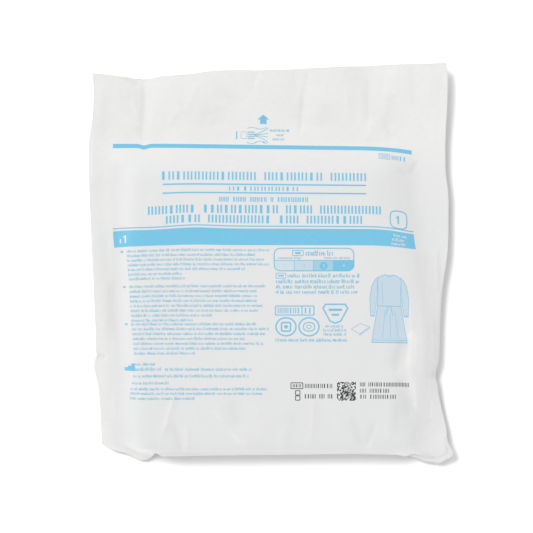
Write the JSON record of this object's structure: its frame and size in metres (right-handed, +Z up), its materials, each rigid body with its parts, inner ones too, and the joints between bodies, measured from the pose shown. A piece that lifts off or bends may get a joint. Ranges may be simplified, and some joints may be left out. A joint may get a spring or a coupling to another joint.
{
  "type": "sealed sterile peel pouch with a folded surgical gown inside",
  "caption": "Flat white film peel pouch, sealed round a folded surgical gown, with a loose peel flap above the top seal and pale blue print on its front web.",
  "frame": {"origin": "on the surface that the pouch lies on, under the middle of its plan outline", "axes": "+Z up out of the printed front web, +Y from the lower end towards the peel flap, +X to the right as the front is read"},
  "size_m": [0.2978, 0.3248, 0.0296],
  "materials": {
    "front_film": "satin",
    "back_film": "satin",
    "gown_cloth": "matte",
    "blue_ink": "matte",
    "black_ink": "matte"
  },
  "bodies": {
    "root": {"front_web": "front_film", "back_web": "back_film", "folded_gown": "gown_cloth"}
  },
  "joints": []
}
